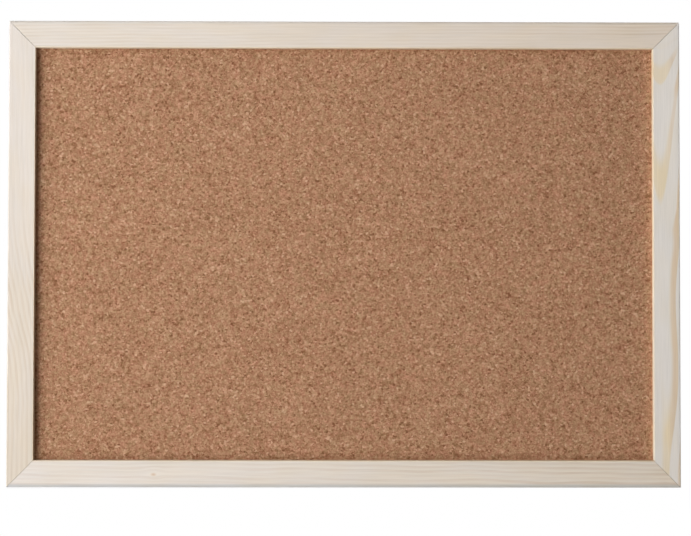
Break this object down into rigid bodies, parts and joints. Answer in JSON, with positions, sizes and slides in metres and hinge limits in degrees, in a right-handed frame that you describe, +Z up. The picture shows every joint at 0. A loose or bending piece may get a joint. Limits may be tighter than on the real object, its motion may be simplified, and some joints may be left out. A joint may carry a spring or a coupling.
{
  "type": "pin badge board",
  "caption": "Landscape cork board for pin badges: a cork face on a softboard core, set in a mitred pine frame and hung by strap hangers with swinging rings.",
  "frame": {"origin": "middle of the frame's back plane, the plane that faces the wall", "axes": "+X to the right as the cork is seen, +Y out of the back towards the wall, +Z up"},
  "size_m": [0.489, 0.0228, 0.339],
  "materials": {
    "pine": "sanded pale pine, unvarnished",
    "cork": "matt fine-grained agglomerated cork",
    "softboard": "matt soft fibreboard",
    "hardboard": "smooth brown hardboard",
    "zinc_steel": "bright zinc plate"
  },
  "bodies": {
    "board": {"top_rail": "pine", "bottom_rail": "pine", "left_stile": "pine", "right_stile": "pine", "cork_sheet": "cork", "softboard_core": "softboard", "hardboard_back": "hardboard", "v_nail_top_left_1": "zinc_steel", "v_nail_top_left_2": "zinc_steel", "v_nail_top_right_1": "zinc_steel", "v_nail_top_right_2": "zinc_steel", "v_nail_bottom_left_1": "zinc_steel", "v_nail_bottom_left_2": "zinc_steel", "v_nail_bottom_right_1": "zinc_steel", "v_nail_bottom_right_2": "zinc_steel", "panel_point_top_1": "zinc_steel", "panel_point_top_2": "zinc_steel", "panel_point_top_3": "zinc_steel", "panel_point_top_4": "zinc_steel", "panel_point_bottom_1": "zinc_steel", "panel_point_bottom_2": "zinc_steel", "panel_point_bottom_3": "zinc_steel", "panel_point_bottom_4": "zinc_steel", "panel_point_left_1": "zinc_steel", "panel_point_left_2": "zinc_steel", "panel_point_left_3": "zinc_steel", "panel_point_right_1": "zinc_steel", "panel_point_right_2": "zinc_steel", "panel_point_right_3": "zinc_steel", "left_hanger_strap": "zinc_steel", "left_hanger_screw": "zinc_steel", "right_hanger_strap": "zinc_steel", "right_hanger_screw": "zinc_steel"},
    "left_ring": {"left_hanger_ring": "zinc_steel"},
    "right_ring": {"right_hanger_ring": "zinc_steel"}
  },
  "joints": [
    {"name": "left_ring_swing", "type": "hinge", "parent": "board", "child": "left_ring", "pos_m": [-0.2275, 0.0024, 0.05], "axis": [0, 0, 1], "range_deg": [-10, 180]},
    {"name": "right_ring_swing", "type": "hinge", "parent": "board", "child": "right_ring", "pos_m": [0.2275, 0.0024, 0.05], "axis": [0, 0, -1], "range_deg": [-10, 180]}
  ]
}
